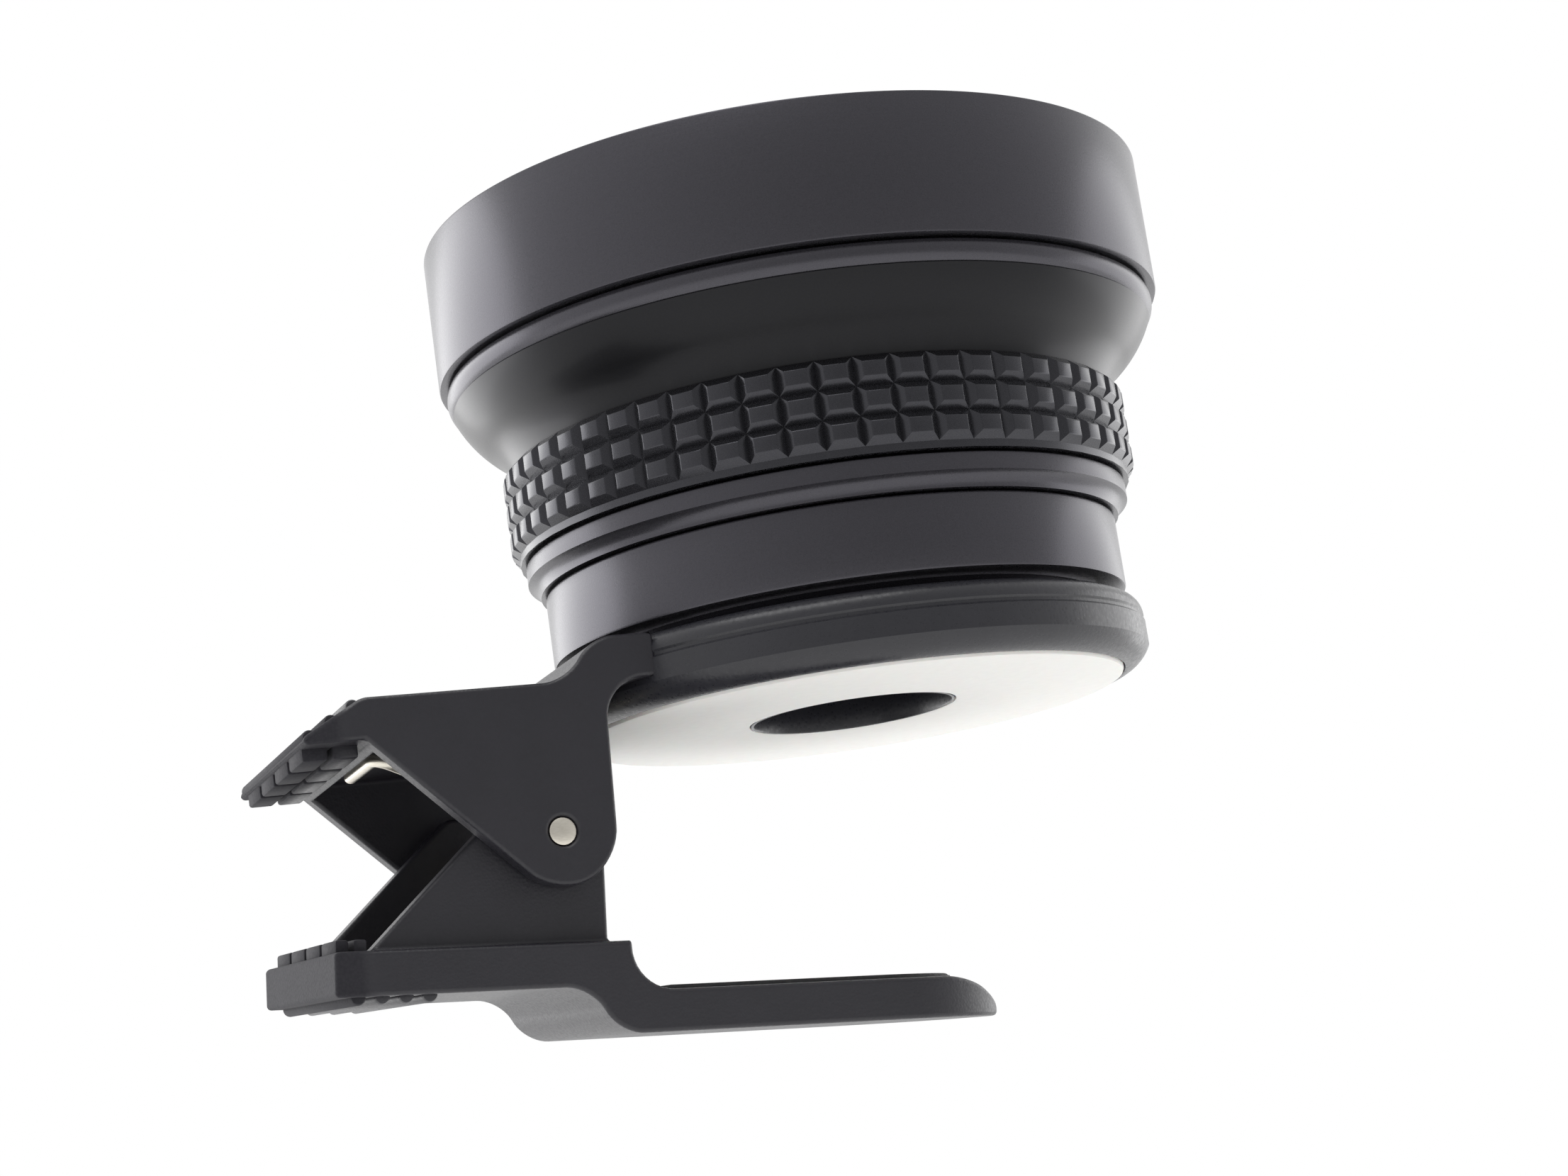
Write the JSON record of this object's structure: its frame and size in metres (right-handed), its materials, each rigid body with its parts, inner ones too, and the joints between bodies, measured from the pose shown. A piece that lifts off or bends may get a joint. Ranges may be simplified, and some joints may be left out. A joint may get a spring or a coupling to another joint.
{
  "type": "clip-on phone camera lens",
  "caption": "Screw-together wide and macro accessory lens on a sprung plastic clip with a ringed upper jaw, padded lower tongue and side hinge pin.",
  "frame": {"origin": "centre of the camera hole at the underside of the clip ring's soft pad", "axes": "+Z along the lens axis towards the front glass, +X along the jaws from the finger grips to the tongue's tip, +Y along the hinge pin"},
  "size_m": [0.0675, 0.052, 0.0587],
  "materials": {
    "lens_metal": "satin black anodised",
    "grip_metal": "semi-gloss black anodised, cut pyramids",
    "coated_glass": "polished, coated",
    "clip_plastic": "fine moulded texture",
    "white_pad": "soft matt",
    "dark_pad": "soft matt",
    "steel": "bright drawn"
  },
  "bodies": {
    "clip": {"upper_jaw": "clip_plastic", "ring_pad": "white_pad", "hinge_pin": "steel", "spring_upper": "steel"},
    "jaw": {"lower_jaw": "clip_plastic", "tongue_pad": "dark_pad", "spring_lower": "steel"},
    "macro": {"macro_barrel": "lens_metal", "macro_glass": "coated_glass", "macro_retainer": "lens_metal"},
    "wide": {"hood_ring": "lens_metal", "bead_ring": "lens_metal", "front_retainer": "lens_metal", "front_glass": "coated_glass", "bell_housing": "lens_metal", "grip_ring": "grip_metal", "inner_barrel": "lens_metal", "rear_glass_upper": "coated_glass", "rear_glass_lower": "coated_glass", "rear_retainer": "lens_metal"}
  },
  "joints": [
    {"name": "jaw_hinge", "type": "hinge", "parent": "clip", "child": "jaw", "pos_m": [-0.0257, 0, -0.0075], "axis": [0, -1, 0], "range_deg": [-20, 30]},
    {"name": "macro_unscrew", "type": "slide", "parent": "clip", "child": "macro", "axis": [0, 0, 1], "range_m": [0, 0.015]},
    {"name": "wide_unscrew", "type": "slide", "parent": "macro", "child": "wide", "axis": [0, 0, 1], "range_m": [0, 0.02]}
  ]
}
